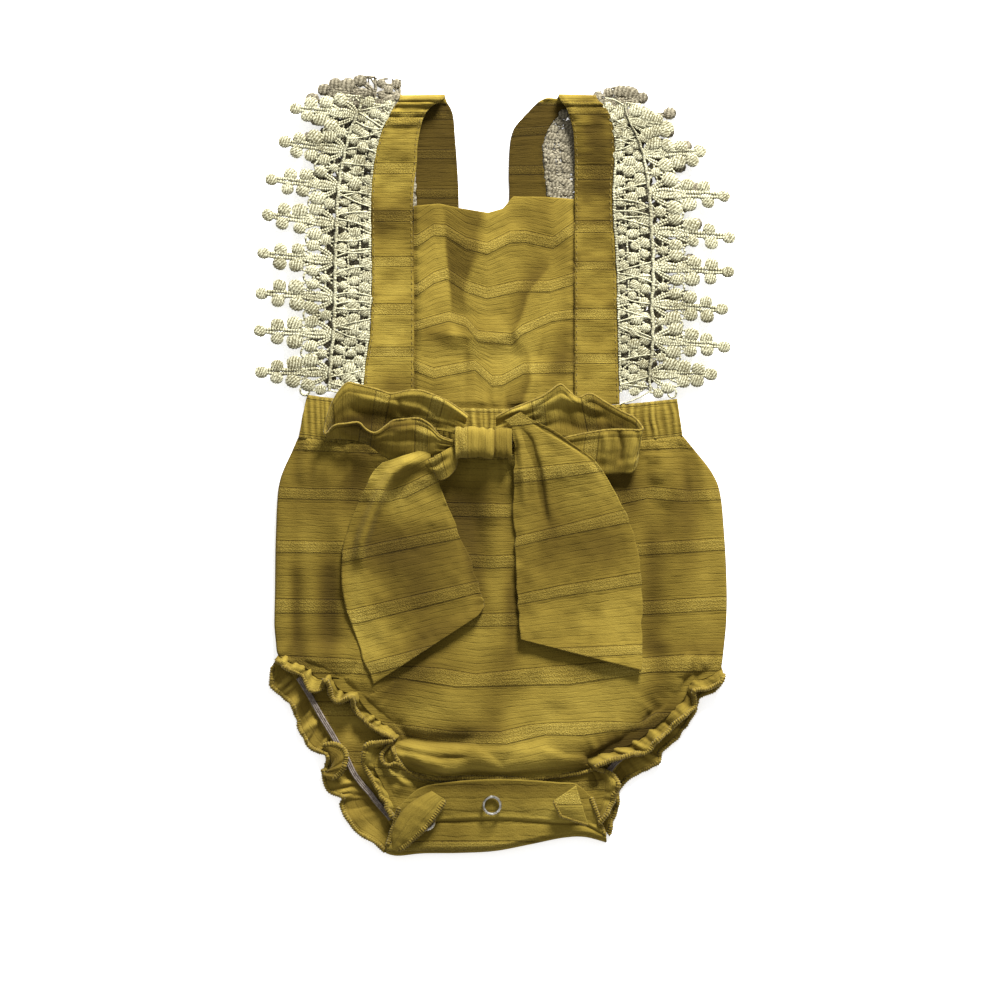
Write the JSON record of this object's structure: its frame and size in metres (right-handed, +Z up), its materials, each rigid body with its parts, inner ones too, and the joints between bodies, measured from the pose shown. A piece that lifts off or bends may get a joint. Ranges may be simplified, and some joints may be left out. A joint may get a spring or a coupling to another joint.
{
  "type": "baby romper",
  "caption": "Mustard cotton baby romper laid flat: elastic waist and legs, bib, shoulder straps with cream lace, front bow and snap crotch.",
  "frame": {"origin": "middle of the garment's outline on the surface it lies on", "axes": "+Y from the crotch to the shoulders, +X to the right of someone who looks down on the front, +Z up out of the front"},
  "size_m": [0.244, 0.3854, 0.0175],
  "materials": {
    "mustard_cotton": "light crinkled cotton with woven dobby bands, matt",
    "cream_lace": "guipure lace of satin-stitched cord, soft sheen",
    "leg_elastic": "covered elastic cord, matt",
    "snap_metal": "bright nickel"
  },
  "bodies": {
    "root": {"front_panel": "mustard_cotton", "back_panel": "mustard_cotton", "waistband_front": "mustard_cotton", "waistband_back": "mustard_cotton", "bib_front": "mustard_cotton", "strap_left": "mustard_cotton", "strap_right": "mustard_cotton", "leg_frill_front_left": "mustard_cotton", "leg_frill_front_right": "mustard_cotton", "leg_frill_back_left": "mustard_cotton", "leg_frill_back_right": "mustard_cotton", "crotch_band": "mustard_cotton", "crotch_band_corner": "mustard_cotton", "bow_loop_left": "mustard_cotton", "bow_loop_right": "mustard_cotton", "bow_tail_left": "mustard_cotton", "bow_tail_right": "mustard_cotton", "bow_knot": "mustard_cotton", "lace_left_front": "cream_lace", "lace_left_back": "cream_lace", "lace_right_front": "cream_lace", "lace_right_back": "cream_lace", "leg_elastic_left": "leg_elastic", "leg_elastic_right": "leg_elastic", "snap_left": "snap_metal", "snap_middle": "snap_metal", "snap_right": "snap_metal"}
  },
  "joints": []
}
